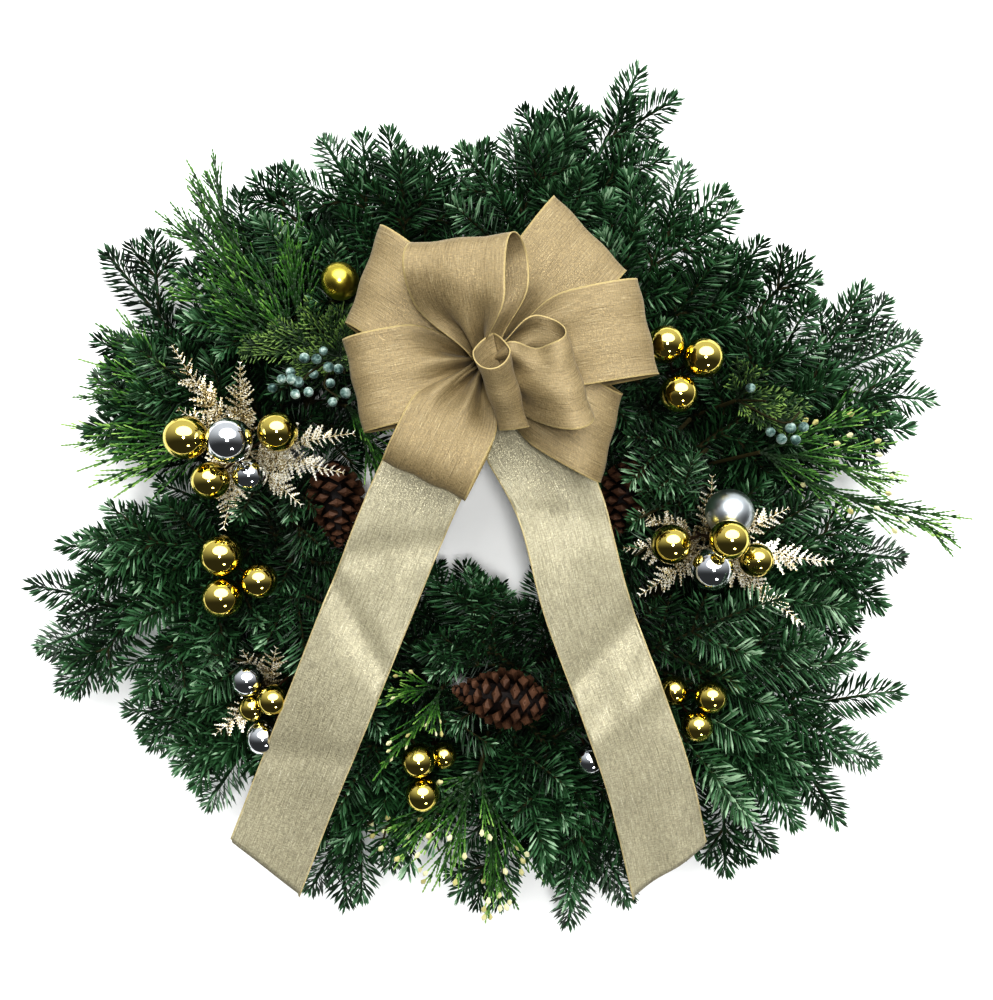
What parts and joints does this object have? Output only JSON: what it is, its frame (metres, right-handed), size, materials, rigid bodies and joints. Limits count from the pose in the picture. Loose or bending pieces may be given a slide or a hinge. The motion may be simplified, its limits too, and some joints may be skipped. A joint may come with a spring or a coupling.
{
  "type": "wreath",
  "caption": "Fresh evergreen wreath on a wire clamp ring, with fir, cedar and juniper, pine cones, shiny ball picks, glittered fern and a wired ribbon bow with two tails",
  "frame": {"origin": "under the middle of the wreath's outline, in the plane of the ring's flat underside, on which it rests", "axes": "+Z out of the wreath's face, +Y towards the bow (the top as it hangs), +X to the right as one faces it"},
  "size_m": [0.7416, 0.6918, 0.1778],
  "materials": {
    "wire": "dark green enamelled wire",
    "fir": "fresh noble fir, dark green with a blue-green bloom",
    "cedar": "fresh incense cedar, yellow-green",
    "juniper": "juniper with blue berries under a pale bloom",
    "cone": "dry reddish-brown cone scales",
    "gold": "mirror gold coating on a hollow ball",
    "silver": "mirror silver coating on a hollow ball",
    "glitter": "champagne glitter over moulded fern",
    "ribbon": "champagne-gold woven ribbon with wired edges",
    "tie": "copper-brown florist wire"
  },
  "bodies": {
    "root": {"wire_ring": "wire", "bow_loops": "ribbon", "bow_tails": "ribbon", "bow_tie": "tie", "ball_pick_a_gold": "gold", "ball_pick_b_gold": "gold", "ball_pick_c_gold": "gold", "ball_pick_d_gold": "gold", "ball_pick_e_gold": "gold", "ball_pick_g_gold": "gold", "ball_pick_h_gold": "gold", "ball_pick_i_gold": "gold", "ball_pick_b_silver": "silver", "ball_pick_d_silver": "silver", "ball_pick_f_silver": "silver", "ball_pick_h_silver": "silver", "glitter_fern_b": "glitter", "glitter_fern_d": "glitter", "glitter_fern_h": "glitter", "pine_cone_low": "cone", "pine_cone_left": "cone", "pine_cone_right": "cone", "cedar_1": "cedar", "cedar_2": "cedar", "cedar_3": "cedar", "cedar_4": "cedar", "cedar_5": "cedar", "cedar_6": "cedar", "juniper_left": "juniper", "juniper_right": "juniper", "fir_outer_000": "fir", "fir_outer_030": "fir", "fir_outer_060": "fir", "fir_outer_090": "fir", "fir_outer_120": "fir", "fir_outer_150": "fir", "fir_outer_180": "fir", "fir_outer_210": "fir", "fir_outer_240": "fir", "fir_outer_270": "fir", "fir_outer_300": "fir", "fir_outer_330": "fir", "fir_face_000": "fir", "fir_face_030": "fir", "fir_face_060": "fir", "fir_face_090": "fir", "fir_face_120": "fir", "fir_face_150": "fir", "fir_face_180": "fir", "fir_face_210": "fir", "fir_face_240": "fir", "fir_face_270": "fir", "fir_face_300": "fir", "fir_face_330": "fir", "fir_inner_000": "fir", "fir_inner_060": "fir", "fir_inner_120": "fir", "fir_inner_180": "fir", "fir_inner_240": "fir", "fir_inner_300": "fir"}
  },
  "joints": []
}
